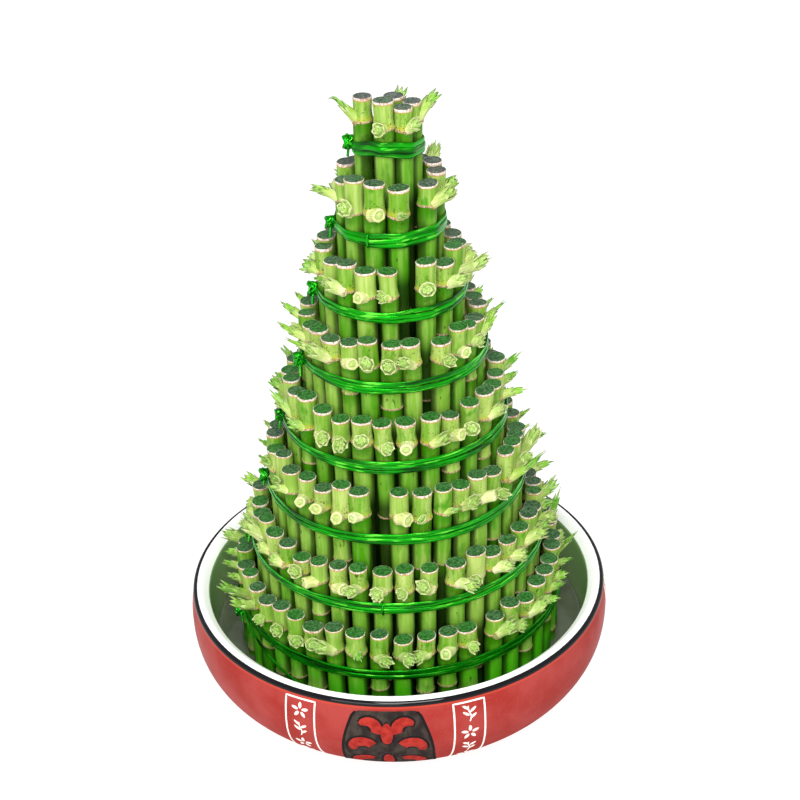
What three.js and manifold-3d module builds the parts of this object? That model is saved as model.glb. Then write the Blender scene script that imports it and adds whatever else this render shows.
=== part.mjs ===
import * as THREE from 'three';
import { mergeVertices } from 'three/addons/utils/BufferGeometryUtils.js';
import Module from 'manifold-3d';

// A stepped tower of cut lucky bamboo: rings of upright stalks, each ring shorter than the one inside
// it and held by its own tie, standing together in a low round bowl of water.
// Millimetres, +Z up. The bowl's foot stands on z = 0 and its axis is the Z axis.

// Bowl
const RIM_RADIUS = 128;
const RIM_HEIGHT = 73;
const BELLY_RADIUS = 132;
const BELLY_HEIGHT = 55;
const FOOT_RADIUS = 98;
const FOOT_WIDTH = 8;
const FOOT_HEIGHT = 3;
const WALL_FLARE = 1.8;
const WALL_RISE = 0.8;
const WALL_STEPS = 6;
const RIM_ROUND = 2.5;
const RIM_SLOPE_WIDTH = 8;
const RIM_SLOPE_DROP = 4;
const INNER_RADIUS = 117.5;
const INNER_FLOOR_RADIUS = 103;
const INNER_CURVE_STEPS = 3;
const FLOOR_TOP = 11;
const BOWL_SEGMENTS = 40;

// Clearance between two pieces that touch
const GAP = 0.3;

// Water round the foot of the tower. The bowl's inside curves from the floor up to this level.
const WATER_LEVEL = 34;

// Tiers, from the top one down. tie is the height of the tie's middle above the table, top and node
// are how far above it the stalks end and their highest nodes sit, and pitch is the angle from one
// stalk at the front to the next.
const TIERS = [
  { tie: 361.5, top: 25.5, node: 12.8, pitch: 47, count: 5 },
  { tie: 314.5, top: 29.5, node: 14.3, pitch: 30, count: 12 },
  { tie: 273.5, top: 26.6, node: 11.8, pitch: 20.3, count: 18 },
  { tie: 235.5, top: 24.2, node: 11.5, pitch: 14.1, count: 25 },
  { tie: 190.5, top: 28, node: 12.5, pitch: 12.3, count: 29 },
  { tie: 149, top: 27.7, node: 12, pitch: 10, count: 35 },
  { tie: 108.5, top: 23.2, node: 10.5, pitch: 9, count: 40 },
  { tie: 69.5, top: 24.5, node: 10.8, pitch: 8.05, count: 45 },
];
// Where the front stalks of each lower tier stand: the first one's angle, how many keep to the pitch,
// and the one wider gap, after the stalk with the given index. The others share the rest of the ring.
// An angle of 270 degrees faces the front.
const FRONTS = [
  { first: 189.5, front: 6, gapAfter: 3, gap: 12.5 },
  { first: 186.3, front: 8, gapAfter: 4, gap: 12 },
  { first: 183.1, front: 12, gapAfter: 7, gap: 6 },
  { first: 202.2, front: 12, gapAfter: 0, gap: 0 },
  { first: 212.6, front: 12, gapAfter: 4, gap: 7.5 },
  { first: 208.6, front: 14, gapAfter: 8, gap: 2.6 },
  { first: 205.3, front: 16, gapAfter: 11, gap: 2.5 },
];
// The top tier's stalks round the core: angle, rise and swing in degrees, the rest in millimetres
const CROWN = [
  { angle: 191, top: 26.8, node: 13.5, leafy: true, long: 21, roll: 10, rise: 36, swing: 4 },
  { angle: 261, top: 28.1, node: 12.8, leafy: false, long: 8, roll: 0, rise: 15, swing: -10 },
  { angle: 308, top: 22.8, node: 10.5, leafy: true, long: 13, roll: 40, rise: 48, swing: 16 },
  { angle: 352, top: 22.8, node: 12.4, leafy: true, long: 21, roll: 25, rise: 45, swing: 22 },
  { angle: 80, top: 22, node: 10, leafy: true, long: 14, roll: 0, rise: 30, swing: -20 },
];

// Stalks. A ring's stalks stand shoulder to shoulder and overlap a little, so that they are one body.
// The core fills the middle of the top ring and holds its stalks together.
const FIRST_RING_RADIUS = 13.6;
const RING_SPACING = 11.7;
const STALK_HALF_DEPTH = 5.5;
const SHOULDER_OVERLAP = 0.2;
const CORE_RADIUS = FIRST_RING_RADIUS - STALK_HALF_DEPTH + 0.5;
const CORE_SIDES = 12;
const CORE_ABOVE_TIE = 20;
const TOP_JITTER = 3;
// How far the tower leans towards +X, per millimetre of height
const LEAN = 0.012;

// Sprouts: one at the node near each stalk's top, facing outwards
const NODE_JITTER = 1.5;
const SPROUT_ROOT_DEPTH = 3;
const SPROUT_SEAT = 2.5;
const SPROUT_HALF_THICKNESS = 2.6;
const LEAFY_SHARE = 0.55;
const LEAFY_LENGTH = [13, 21];
const LEAFY_RIDGE = 0.35;
const STUB_LENGTH = [6, 9];
const STUB_RADIUS = 3.4;
const STUB_SIDES = 4;
const SPROUT_RISE = [15, 45];
const SPROUT_SWING = 38;
const SPROUT_ROLL = 70;

// Ties
const TIE_HALF_HEIGHT = 3.2;
const TIE_THICKNESS = 1.5;
const TIE_GROOVE = 0.6;
const TIE_SEGMENTS = [16, 30];
const KNOT_ANGLE = 182;
const KNOT_RADIUS = 3.4;
const KNOT_FLATNESS = 0.55;
const KNOT_STAND = 0.5;
const TAIL_LENGTH = 9;
const TAIL_RADIUS = 0.9;
const SLACK_STRAND_DROP = 30;
const SLACK_STRAND_SWEEP = 75;
const SLACK_STRAND_RADIUS = 0.8;
const SLACK_STRAND_STEPS = 12;

const SEED = 20260;
const DEGREE = Math.PI / 180;

const wasm = await Module();
wasm.setup();

const COLOURS = {
  bowl: { color: 0xb9443c, roughness: 0.3, metalness: 0 },
  water: { color: 0x4d5a48, roughness: 0.1, metalness: 0 },
  stalk: { color: 0x7fae3a, roughness: 0.55, metalness: 0 },
  tie: { color: 0x0f9a1c, roughness: 0.25, metalness: 0.8 },
};

const random = seededRandom(SEED);

function seededRandom(seed) {
  let state = seed;
  return () => {
    state = (state * 1664525 + 1013904223) % 4294967296;
    return state / 4294967296;
  };
}

function between([low, high]) {
  return low + (high - low) * random();
}

function spread(amount) {
  return (2 * random() - 1) * amount;
}

function named(name, geometry, colour) {
  const mesh = new THREE.Mesh(geometry, new THREE.MeshStandardMaterial(colour));
  mesh.name = name;
  return mesh;
}

// A closed three.js geometry as a solid, with only its shared positions kept
function solid(geometry) {
  const bare = geometry.clone();
  bare.deleteAttribute('normal');
  bare.deleteAttribute('uv');
  const welded = mergeVertices(bare, 1e-5);
  const mesh = new wasm.Mesh({
    numProp: 3,
    vertProperties: new Float32Array(welded.attributes.position.array),
    triVerts: new Uint32Array(welded.index.array),
  });
  return new wasm.Manifold(mesh);
}

function fused(geometries) {
  const whole = wasm.Manifold.union(geometries.map(solid));
  const { vertProperties, triVerts } = whole.getMesh();
  const geometry = new THREE.BufferGeometry();
  geometry.setAttribute('position', new THREE.BufferAttribute(new Float32Array(vertProperties), 3));
  geometry.setIndex(new THREE.BufferAttribute(new Uint32Array(triVerts), 1));
  geometry.computeVertexNormals();
  return geometry;
}

// A profile of [radius, height] pairs turned about the Z axis
function turned(profile, segments) {
  const points = profile.map(([radius, height]) => new THREE.Vector2(radius, height));
  return new THREE.LatheGeometry(points, segments).rotateX(Math.PI / 2);
}

// The whole tower leans, so each of its pieces is sheared alike and keeps its distance to the next one
function leaning(geometry) {
  const floor = FLOOR_TOP + GAP;
  const shear = new THREE.Matrix4().makeShear(0, 0, 0, 0, LEAN, 0);
  return geometry.translate(0, 0, -floor).applyMatrix4(shear).translate(0, 0, floor);
}

// The outer wall from the foot up to the belly, as a quarter of a rounded square
function lowerWall() {
  const points = [];
  for (let step = 0; step <= WALL_STEPS; step += 1) {
    const turn = (step / WALL_STEPS) * 90 * DEGREE;
    const radius = FOOT_RADIUS + (BELLY_RADIUS - FOOT_RADIUS) * Math.sin(turn) ** WALL_FLARE;
    const height = BELLY_HEIGHT - (BELLY_HEIGHT - FOOT_HEIGHT) * Math.cos(turn) ** WALL_RISE;
    points.push([radius, height]);
  }
  return points;
}

// The inside from the wall down to the floor, as a quarter of an ellipse, set inwards by an offset
function innerCurve(offset) {
  const reach = INNER_RADIUS - INNER_FLOOR_RADIUS;
  const drop = WATER_LEVEL - GAP - FLOOR_TOP;
  const points = [];
  for (let step = 0; step <= INNER_CURVE_STEPS; step += 1) {
    const turn = (step / INNER_CURVE_STEPS) * 90 * DEGREE;
    points.push([
      INNER_FLOOR_RADIUS + reach * Math.cos(turn) - offset,
      FLOOR_TOP + drop * (1 - Math.sin(turn)) + offset,
    ]);
  }
  return points;
}

function bowl() {
  const slopeFoot = RIM_RADIUS - RIM_SLOPE_WIDTH;
  const profile = [
    [0, FOOT_HEIGHT],
    [FOOT_RADIUS - FOOT_WIDTH - 1, FOOT_HEIGHT],
    [FOOT_RADIUS - FOOT_WIDTH, 0],
    [FOOT_RADIUS, 0],
    ...lowerWall(),
    [(BELLY_RADIUS + RIM_RADIUS) / 2 + 1, (BELLY_HEIGHT + RIM_HEIGHT) / 2],
    [RIM_RADIUS, RIM_HEIGHT - RIM_ROUND],
    [RIM_RADIUS - RIM_ROUND, RIM_HEIGHT],
    [slopeFoot, RIM_HEIGHT - RIM_SLOPE_DROP],
    ...innerCurve(0),
    [0, FLOOR_TOP],
  ];
  return turned(profile, BOWL_SEGMENTS);
}

// Water between the wall and the tower, which stands in its plain round hole
function water() {
  const reach = outerReach(TIERS.length) + GAP + LEAN * (WATER_LEVEL - FLOOR_TOP);
  const hole = reach / Math.cos(Math.PI / BOWL_SEGMENTS);
  const inner = [[hole, WATER_LEVEL], [hole, FLOOR_TOP + 2 * GAP]];
  const outer = innerCurve(GAP).reverse().slice(1);
  return turned([...inner, ...outer, [hole, WATER_LEVEL]], BOWL_SEGMENTS);
}

function ringRadius(tier) {
  return FIRST_RING_RADIUS + RING_SPACING * (tier - 1);
}

// Half the way from a stalk's middle to its neighbour's at the front of the same ring
function halfPitch(tier) {
  return ringRadius(tier) * Math.sin(TIERS[tier - 1].pitch / 2 * DEGREE);
}

// The angle of a stalk of one of the lower tiers, in radians
function stalkAngle(number, index) {
  const { count, pitch } = TIERS[number - 1];
  const { first, front, gapAfter, gap } = FRONTS[number - 2];
  const last = first + (front - 1) * pitch + gap;
  if (index < front) {
    return (first + index * pitch + (index > gapAfter ? gap : 0)) * DEGREE;
  }
  const step = (first + 360 - last) / (count - front + 1);
  return (last + (index - front + 1) * step) * DEGREE;
}

// The largest radius that a ring's stalks reach, at the corners of their outer faces
function outerReach(tier) {
  return Math.hypot(ringRadius(tier) + STALK_HALF_DEPTH, halfPitch(tier) / 2);
}

function place(geometry, tier, angle) {
  return geometry.translate(ringRadius(tier), 0, 0).rotateZ(angle);
}

// A six-sided stalk from the bowl's floor up. Its side corners lean by the given angle towards its
// neighbours round the ring.
function stalk(halfAcross, halfDeep, cornerLean, top) {
  const cornerX = -halfAcross * Math.sin(cornerLean);
  const cornerY = halfAcross * Math.cos(cornerLean);
  const outline = new THREE.Shape([
    new THREE.Vector2(halfDeep, -halfAcross / 2),
    new THREE.Vector2(halfDeep, halfAcross / 2),
    new THREE.Vector2(cornerX, cornerY),
    new THREE.Vector2(-halfDeep, halfAcross / 2),
    new THREE.Vector2(-halfDeep, -halfAcross / 2),
    new THREE.Vector2(cornerX, -cornerY),
  ]);
  const bottom = FLOOR_TOP + GAP;
  const geometry = new THREE.ExtrudeGeometry(outline, { depth: top - bottom, bevelEnabled: false });
  return geometry.translate(0, 0, bottom);
}

// A leaf-like solid: its outline lies in the XY plane, and both of its faces rise to a ridge point
function ridged(outline, ridgeX, halfThickness) {
  const count = outline.length;
  const points = outline.map(([x, y]) => new THREE.Vector3(x, y, 0));
  points.push(new THREE.Vector3(ridgeX, 0, halfThickness));
  points.push(new THREE.Vector3(ridgeX, 0, -halfThickness));
  const faces = [];
  for (let corner = 0; corner < count; corner += 1) {
    const next = (corner + 1) % count;
    faces.push(corner, next, count, next, corner, count + 1);
  }
  return new THREE.BufferGeometry().setFromPoints(points).setIndex(faces);
}

// A sprout with three leaf tips, drawn along +X from its root inside the stalk
function leafySprout({ long, roll }) {
  const outline = [
    [-SPROUT_ROOT_DEPTH, -3],
    [0.84 * long, -4.8],
    [0.62 * long, -1.4],
    [long, 0.4],
    [0.6 * long, 1.6],
    [0.78 * long, 5.2],
    [-SPROUT_ROOT_DEPTH, 3],
  ];
  return ridged(outline, LEAFY_RIDGE * long, SPROUT_HALF_THICKNESS).rotateX(roll);
}

// A sprout that was trimmed to a short stub
function trimmedSprout({ long }) {
  const reach = long + SPROUT_ROOT_DEPTH;
  const stub = new THREE.CylinderGeometry(STUB_RADIUS * 0.9, STUB_RADIUS, reach, STUB_SIDES);
  return stub.rotateZ(-90 * DEGREE).translate(reach / 2 - SPROUT_ROOT_DEPTH, 0, 0);
}

function sprout(growth) {
  const bud = growth.leafy ? leafySprout(growth) : trimmedSprout(growth);
  return bud.rotateY(-growth.rise).rotateZ(growth.swing).translate(SPROUT_SEAT, 0, growth.node);
}

// How one stalk grew: where it was cut, and the place, kind and direction of its sprout
function drawGrowth(ring) {
  const top = ring.tie + ring.top + spread(TOP_JITTER);
  const node = ring.tie + ring.node + spread(NODE_JITTER);
  const leafy = random() < LEAFY_SHARE;
  const long = between(leafy ? LEAFY_LENGTH : STUB_LENGTH);
  const roll = spread(SPROUT_ROLL) * DEGREE;
  const rise = between(SPROUT_RISE) * DEGREE;
  const swing = spread(SPROUT_SWING) * DEGREE;
  return { top, node, leafy, long, roll, rise, swing };
}

function crownGrowth({ top, node, leafy, long, roll, rise, swing }) {
  return {
    top: TIERS[0].tie + top,
    node: TIERS[0].tie + node,
    leafy,
    long,
    roll: roll * DEGREE,
    rise: rise * DEGREE,
    swing: swing * DEGREE,
  };
}

function core() {
  const bottom = FLOOR_TOP + GAP;
  const height = TIERS[0].tie + CORE_ABOVE_TIE - bottom;
  const bar = new THREE.CylinderGeometry(CORE_RADIUS, CORE_RADIUS, height, CORE_SIDES);
  return bar.rotateX(90 * DEGREE).translate(0, 0, bottom + height / 2);
}

// One ring of stalks with their sprouts, fused into one body
function tier(number) {
  const ring = TIERS[number - 1];
  const halfAcross = halfPitch(number) + SHOULDER_OVERLAP;
  const cornerLean = ring.pitch / 2 * DEGREE;
  const pieces = number === 1 ? [core()] : [];
  for (let index = 0; index < ring.count; index += 1) {
    const angle = number === 1 ? CROWN[index].angle * DEGREE : stalkAngle(number, index);
    const growth = number === 1 ? crownGrowth(CROWN[index]) : drawGrowth(ring);
    pieces.push(place(stalk(halfAcross, STALK_HALF_DEPTH, cornerLean, growth.top), number, angle));
    pieces.push(place(sprout(growth), number, angle));
  }
  return leaning(fused(pieces));
}

// Two rounded strands side by side round a ring of stalks, drawn as a band with a groove
function tieBand(number) {
  const [fewest, most] = TIE_SEGMENTS;
  const segments = THREE.MathUtils.clamp(TIERS[number - 1].count, fewest, most);
  const inside = (outerReach(number) + GAP) / Math.cos(Math.PI / segments);
  const outside = inside + TIE_THICKNESS;
  const middle = TIERS[number - 1].tie;
  return turned([
    [inside, middle - TIE_HALF_HEIGHT],
    [outside, middle - 0.6 * TIE_HALF_HEIGHT],
    [outside - TIE_GROOVE, middle],
    [outside, middle + 0.6 * TIE_HALF_HEIGHT],
    [inside, middle + TIE_HALF_HEIGHT],
    [inside, middle - TIE_HALF_HEIGHT],
  ], segments);
}

function knotPlace(number) {
  return outerReach(number) + GAP + TIE_THICKNESS;
}

// The knot at the tie's left, with the two twisted ends standing off it
function knot(number) {
  const lump = new THREE.OctahedronGeometry(KNOT_RADIUS, 0).scale(KNOT_FLATNESS, 1, 1);
  const tails = [-25, 40].map((tilt) => new THREE.CylinderGeometry(TAIL_RADIUS, TAIL_RADIUS, TAIL_LENGTH, 3)
    .translate(0, TAIL_LENGTH / 2, 0).rotateX((60 + tilt) * DEGREE).rotateZ(-20 * DEGREE));
  return [lump, ...tails].map((piece) => piece
    .translate(knotPlace(number) + KNOT_STAND, 0, TIERS[number - 1].tie).rotateZ(KNOT_ANGLE * DEGREE));
}

// A point on the slack strand of the lowest tie, which sags from the knot towards the front
class SlackStrand extends THREE.Curve {
  getPoint(share, target = new THREE.Vector3()) {
    const lowest = TIERS.length;
    const angle = (KNOT_ANGLE + share * SLACK_STRAND_SWEEP) * DEGREE;
    const drop = SLACK_STRAND_DROP * Math.sin(share * 90 * DEGREE);
    const radius = knotPlace(lowest) + SLACK_STRAND_RADIUS;
    return target.set(radius * Math.cos(angle), radius * Math.sin(angle), TIERS[lowest - 1].tie - drop);
  }
}

function slackStrand() {
  const half = SLACK_STRAND_RADIUS;
  const section = new THREE.Shape([
    new THREE.Vector2(half, 0),
    new THREE.Vector2(0, half),
    new THREE.Vector2(-half, 0),
    new THREE.Vector2(0, -half),
  ]);
  return new THREE.ExtrudeGeometry(section, {
    steps: SLACK_STRAND_STEPS,
    extrudePath: new SlackStrand(),
    bevelEnabled: false,
  });
}

function tie(number) {
  const pieces = [tieBand(number), ...knot(number)];
  if (number === TIERS.length) {
    pieces.push(slackStrand());
  }
  return leaning(fused(pieces));
}

const group = new THREE.Group();
group.add(named('bowl', bowl(), COLOURS.bowl));
group.add(named('water', water(), COLOURS.water));
TIERS.forEach((ring, index) => {
  const number = index + 1;
  group.add(named(`tier_${number}_stalks`, tier(number), COLOURS.stalk));
  group.add(named(`tie_${number}`, tie(number), COLOURS.tie));
});

export default group;
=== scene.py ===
# %% [markdown]
# # A stepped lucky bamboo tower in its bowl
#
# Eight rings of cut bamboo canes stand in a low, red glazed bowl of water. Each ring is shorter than
# the one inside it, and a green foil tie holds it together. Near its top every cane has a node with
# one trimmed sprout. The solids of the part give the places of all of this, and this lesson dresses
# them. The part's lengths are in millimetres and are multiplied by MM where Blender takes metres. The
# camera, the floor and the lights are placed in metres.

# %% Load the frame
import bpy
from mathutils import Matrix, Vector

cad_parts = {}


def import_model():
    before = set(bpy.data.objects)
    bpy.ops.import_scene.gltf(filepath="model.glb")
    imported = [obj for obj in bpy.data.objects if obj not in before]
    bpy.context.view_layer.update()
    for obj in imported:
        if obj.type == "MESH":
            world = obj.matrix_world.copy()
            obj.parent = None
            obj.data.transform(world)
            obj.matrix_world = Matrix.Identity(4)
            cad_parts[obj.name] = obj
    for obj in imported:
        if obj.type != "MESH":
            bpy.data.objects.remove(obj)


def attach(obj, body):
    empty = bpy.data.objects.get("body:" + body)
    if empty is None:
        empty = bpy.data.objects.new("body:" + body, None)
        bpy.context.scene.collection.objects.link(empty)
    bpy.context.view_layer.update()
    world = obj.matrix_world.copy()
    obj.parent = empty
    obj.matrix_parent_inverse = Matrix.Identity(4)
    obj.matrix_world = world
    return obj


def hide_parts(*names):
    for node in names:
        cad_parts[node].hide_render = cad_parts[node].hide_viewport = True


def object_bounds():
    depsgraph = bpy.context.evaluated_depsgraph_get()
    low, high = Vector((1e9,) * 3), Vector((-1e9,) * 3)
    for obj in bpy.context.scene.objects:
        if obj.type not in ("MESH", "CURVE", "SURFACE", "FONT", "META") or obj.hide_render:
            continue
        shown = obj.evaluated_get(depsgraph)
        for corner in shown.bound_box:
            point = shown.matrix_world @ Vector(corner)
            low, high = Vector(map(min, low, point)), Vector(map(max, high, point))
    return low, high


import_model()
cad_box = [list(corner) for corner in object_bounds()]

import math

import bpy
import numpy as np
from mathutils import Matrix, Vector

MM = 0.001
BODY = "root"
print("the solids' box in metres:", cad_box)

# %% [markdown]
# ## The camera
#
# The picture was taken from about 30 degrees above, with a long lens. The camera's height, distance
# and tilt were found by laying the circles of the rim and the ties over their outlines in the
# picture. A matrix whose columns are the camera's own axes sets all three turns at once.

# %% Place the camera
PICTURE_PIXELS = 800
FOCAL_PIXELS = 1700
SENSOR_WIDTH = 36
CAMERA_DISTANCE = 0.881
CAMERA_HEIGHT = 0.706
PITCH = math.radians(30.07)
YAW = math.radians(0.35)
ROLL = math.radians(-2.18)


def camera_matrix():
    ahead = Vector((math.sin(YAW) * math.cos(PITCH), math.cos(YAW) * math.cos(PITCH), -math.sin(PITCH)))
    level = Vector((math.cos(YAW), -math.sin(YAW), 0))
    above = level.cross(ahead)
    right = math.cos(ROLL) * level + math.sin(ROLL) * above
    up = math.cos(ROLL) * above - math.sin(ROLL) * level
    matrix = Matrix((right, up, -ahead)).transposed().to_4x4()
    matrix.translation = (0, -CAMERA_DISTANCE, CAMERA_HEIGHT)
    return matrix


lens = bpy.data.cameras.new("photo_camera")
lens.sensor_width = SENSOR_WIDTH
lens.lens = FOCAL_PIXELS / PICTURE_PIXELS * SENSOR_WIDTH
camera = bpy.data.objects.new("photo_camera", lens)
bpy.context.collection.objects.link(camera)
camera.matrix_world = camera_matrix()
bpy.context.scene.camera = camera
print("focal length in mm:", round(lens.lens, 1))

# %% [markdown]
# ## The shader helpers
#
# A material is a graph of nodes. Written out node by node it is long and hard to read, so one small
# class stands for the output of a node, and its plus, minus and times add the Math nodes. A second
# class is the material itself. It adds any other node by its type, its settings and its sockets.

# %% Shader maths as plain sums
class Signal:
    """One output of a shader node. A sum or a product of it adds a Math node."""

    def __init__(self, finish, socket):
        self.finish = finish
        self.socket = socket

    def maths(self, operation, first, second=None):
        sockets = {0: first, 1: second}
        return self.finish.node("ShaderNodeMath", {"operation": operation}, sockets)

    def __add__(self, other):
        return self.maths("ADD", self, other)

    def __radd__(self, other):
        return self.maths("ADD", other, self)

    def __sub__(self, other):
        return self.maths("SUBTRACT", self, other)

    def __rsub__(self, other):
        return self.maths("SUBTRACT", other, self)

    def __mul__(self, other):
        return self.maths("MULTIPLY", self, other)

    def __rmul__(self, other):
        return self.maths("MULTIPLY", other, self)

    def __abs__(self):
        return self.maths("ABSOLUTE", self)

    def soft_step(self, low, high, start, end):
        settings = {"interpolation_type": "SMOOTHSTEP"}
        return self.finish.node("ShaderNodeMapRange", settings, {0: self, 1: low, 2: high, 3: start, 4: end})

    def rise(self, low, high):
        """0 below low, 1 above high, and a soft step from one to the other."""
        return self.soft_step(low, high, 0.0, 1.0)

    def fall(self, low, high):
        """1 below low and 0 above high."""
        return self.soft_step(low, high, 1.0, 0.0)


# %% A material, node by node
def linear(level):
    """One sRGB level from 0 to 255 as the linear light that shaders count with."""
    share = level / 255
    return share / 12.92 if share <= 0.04045 else ((share + 0.055) / 1.055) ** 2.4


def paint(levels):
    """A colour from its three sRGB levels. A signal is a colour already."""
    return levels if isinstance(levels, Signal) else (*map(linear, levels), 1.0)


class Finish:
    """A material on the Principled shader. Constants are set straight on the shader's sockets."""

    def __init__(self, name, constants):
        self.material = bpy.data.materials.new(name)
        self.material.use_nodes = True
        self.tree = self.material.node_tree
        self.shader = self.tree.nodes["Principled BSDF"]
        for socket, amount in constants.items():
            self.shader.inputs[socket].default_value = amount

    def node(self, kind, settings, sockets, output=0):
        made = self.tree.nodes.new(kind)
        for name, setting in settings.items():
            setattr(made, name, setting)
        for name, source in sockets.items():
            if isinstance(source, Signal):
                self.tree.links.new(source.socket, made.inputs[name])
            elif source is not None:
                made.inputs[name].default_value = source
        return Signal(self, made.outputs[output])

    def drive(self, socket, source):
        self.tree.links.new(source.socket, self.shader.inputs[socket])

    def place(self, stretch=(1, 1, 1)):
        """The point on the object in millimetres, with its pattern drawn out along an axis."""
        point = self.node("ShaderNodeTexCoord", {}, {}, "Object")
        factors = tuple(1 / (MM * amount) for amount in stretch)
        return self.node("ShaderNodeVectorMath", {"operation": "MULTIPLY"}, {0: point, 1: factors})

    def height(self):
        """How high the point lies, in millimetres."""
        return self.node("ShaderNodeSeparateXYZ", {}, {0: self.place()}, 2)

    def point(self, *parts):
        """Three signals as one place, for a pattern that follows the piece and not the object."""
        return self.node("ShaderNodeCombineXYZ", {}, dict(enumerate(parts)))

    def measures(self, *names):
        """Numbers that were stored on the mesh, point by point."""
        return [self.node("ShaderNodeAttribute", {"attribute_name": name}, {}, "Fac") for name in names]

    def noise(self, size, stretch=(1, 1, 1), detail=2.0, point=None):
        """Soft random patches, size in millimetres, from 0 to 1 with most of it near a half."""
        point = point or self.place(stretch)
        return self.node("ShaderNodeTexNoise", {}, {"Vector": point, "Scale": 1 / size, "Detail": detail})

    def mix(self, share, first, second):
        colours = {0: share, 6: paint(first), 7: paint(second)}
        return self.node("ShaderNodeMix", {"data_type": "RGBA"}, colours, 2)

    def painted(self, colour, *coats):
        """Coats of colour one over the other, each with the share that it covers."""
        for share, tint in coats:
            colour = self.mix(share, colour, tint)
        return colour

    def bump(self, height, depth):
        """Height from 0 to 1 as relief, depth in millimetres."""
        sockets = {"Height": height, "Distance": depth * MM, "Strength": 1.0}
        self.drive("Normal", self.node("ShaderNodeBump", {}, sockets))


# %% [markdown]
# ## Floor and light
#
# The picture has a white ground, and soft light from the front and above. A pale floor, a bright even
# sky and two large area lights give that. The sky makes the pale sheen on the glaze. The canes shade
# each other, and shade is also painted on their skin in the gaps between them, so that these are
# nearly black.

# %% Floor, sky and lights
FLOOR_SIZE = 14
SKY_STRENGTH = 0.7


def area_light(name, place, target, size, watts):
    bpy.ops.object.light_add(type="AREA", location=place)
    light = bpy.context.object
    light.name = name
    light.data.size = size
    light.data.energy = watts
    light.rotation_euler = (Vector(target) - Vector(place)).to_track_quat("-Z", "Y").to_euler()


bpy.ops.object.select_all(action="DESELECT")
bpy.ops.mesh.primitive_plane_add(size=FLOOR_SIZE, location=(0, 0, 0))
floor = bpy.context.object
floor.name = "floor"
floor_finish = Finish("floor_paper", {
    "Roughness": 0.9, "Specular IOR Level": 0.1, "Emission Color": (1, 1, 1, 1), "Emission Strength": 0.9})
floor_finish.drive("Base Color", floor_finish.mix(
    floor_finish.noise(300), (132, 132, 132), (140, 140, 140)))
floor.data.materials.append(floor_finish.material)

sky = bpy.data.worlds.new("studio_sky")
sky.use_nodes = True
sky.node_tree.nodes["Background"].inputs["Color"].default_value = (1, 1, 1, 1)
sky.node_tree.nodes["Background"].inputs["Strength"].default_value = SKY_STRENGTH
bpy.context.scene.world = sky
area_light("key_light", (0.1, -1.3, 2.1), (0, 0, 0.15), 1.0, 48)
area_light("fill_light", (-0.6, -1.8, 1.0), (0, 0, 0.1), 1.2, 18)
bpy.context.scene.view_settings.view_transform = "Standard"

# %% [markdown]
# ## Modelling helpers
#
# An operator acts on all that is selected, and the loaded solids are selected, so each piece starts
# from an empty selection. The bowl and the water are turned: a profile is drawn as a chain of points
# and spun about the upright axis. The canes and the sprouts are drawn out: the end face of a round
# bar is extruded and resized again and again, like clay on a stick. Strokes of glaze and loops of
# cord are a round bar that follows a path.

# %% Start a piece, turn a profile
# Points nearer than this are one point, in millimetres
SAME_POINT = 0.02


def only(piece):
    bpy.ops.object.select_all(action="DESELECT")
    piece.select_set(True)
    bpy.context.view_layer.objects.active = piece


def open_mesh(name):
    """Name the new object, make its place and size its mesh's own, and start to edit it."""
    bpy.context.object.name = name
    bpy.ops.object.transform_apply(location=True, rotation=True, scale=True)
    bpy.ops.object.mode_set(mode="EDIT")
    bpy.ops.mesh.select_all(action="SELECT")


def close_mesh():
    bpy.ops.mesh.select_all(action="SELECT")
    bpy.ops.mesh.normals_make_consistent(inside=False)
    bpy.ops.object.mode_set(mode="OBJECT")
    bpy.ops.object.shade_smooth()
    return bpy.context.object


def turned(name, profile, steps):
    """A closed shape of revolution from points of (radius, height)."""
    bpy.ops.object.select_all(action="DESELECT")
    radius, height = profile[0]
    bpy.ops.mesh.primitive_plane_add(size=MM, location=(radius * MM, 0, height * MM))
    open_mesh(name)
    bpy.ops.mesh.merge(type="CENTER")
    for (r0, z0), (r1, z1) in zip(profile, profile[1:]):
        bpy.ops.mesh.extrude_region_move(
            TRANSFORM_OT_translate={"value": ((r1 - r0) * MM, 0, (z1 - z0) * MM)})
    bpy.ops.mesh.select_all(action="SELECT")
    bpy.ops.mesh.spin(steps=steps, angle=2 * math.pi, center=(0, 0, 0), axis=(0, 0, 1))
    bpy.ops.mesh.select_all(action="SELECT")
    bpy.ops.mesh.remove_doubles(threshold=SAME_POINT * MM)
    return close_mesh()


# %% Draw out a bar
def drawn_out(name, sides, levels):
    """A bar along Z. Each level is (height, half width in X, half width in Y)."""
    bpy.ops.object.select_all(action="DESELECT")
    height, wide, deep = levels[0]
    bpy.ops.mesh.primitive_circle_add(
        vertices=sides, radius=MM, fill_type="NGON", location=(0, 0, height * MM))
    bpy.context.object.scale = (wide, deep, 1)
    open_mesh(name)
    for (z0, x0, y0), (z1, x1, y1) in zip(levels, levels[1:]):
        bpy.ops.mesh.extrude_region_move(TRANSFORM_OT_translate={"value": (0, 0, (z1 - z0) * MM)})
        bpy.ops.transform.resize(value=(x1 / x0, y1 / y0, 1), center_override=(0, 0, 0))
    return close_mesh()


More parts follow.
